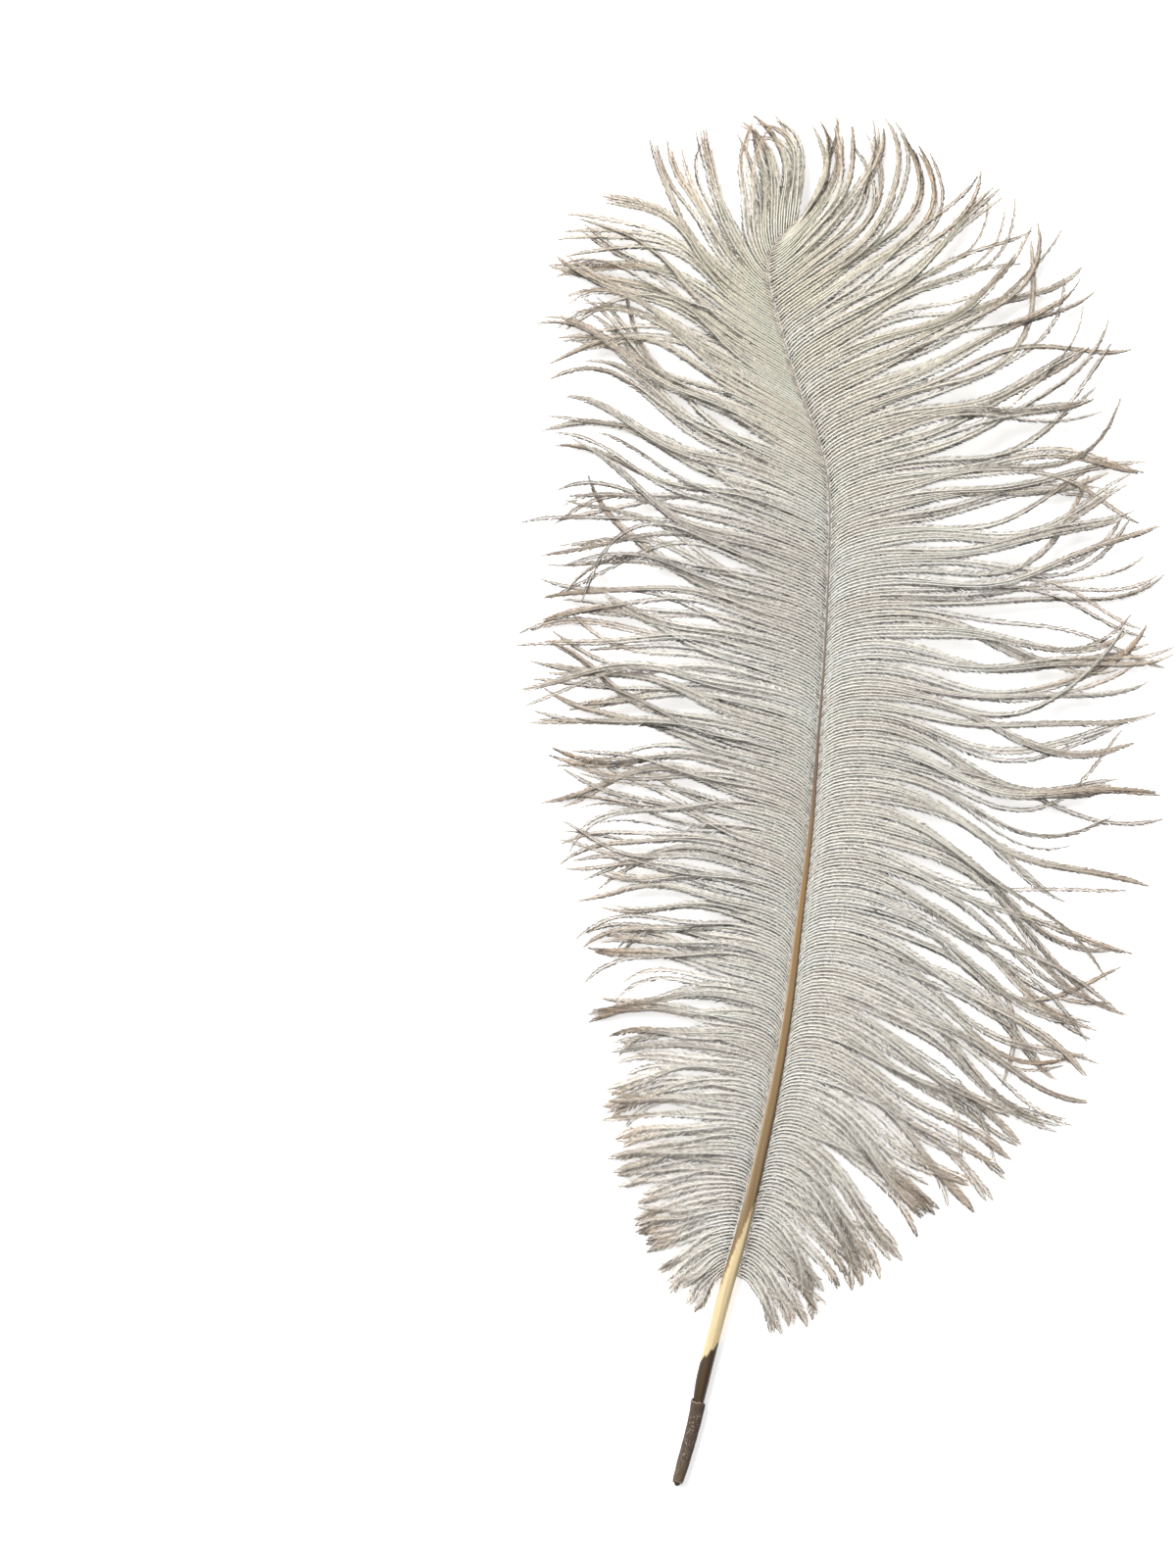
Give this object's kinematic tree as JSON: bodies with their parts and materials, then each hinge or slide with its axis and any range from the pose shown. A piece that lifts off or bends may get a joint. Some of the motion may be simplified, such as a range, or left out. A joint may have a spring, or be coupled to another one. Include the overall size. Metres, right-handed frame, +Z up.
{
  "type": "ostrich feather",
  "caption": "Single white ostrich wing plume lying flat, with a tan grooved shaft, a cream and brown quill end in its dried sheath, and soft curling flues.",
  "frame": {"origin": "bottom centre of the plume's bounding box, on the surface that it lies on", "axes": "+Y along the plume from the root end to the tip, +X to its right as seen from above, +Z up"},
  "size_m": [0.2708, 0.5629, 0.014],
  "materials": {
    "down": "soft matt white barbs with a slight silky sheen",
    "horn": "satin keratin, ivory at the calamus and tan along the shaft",
    "dry_sheath": "dry, flaky grey-brown skin"
  },
  "bodies": {
    "root": {"quill": "horn", "root_sheath": "dry_sheath", "vane_left": "down", "vane_right": "down"}
  },
  "joints": []
}
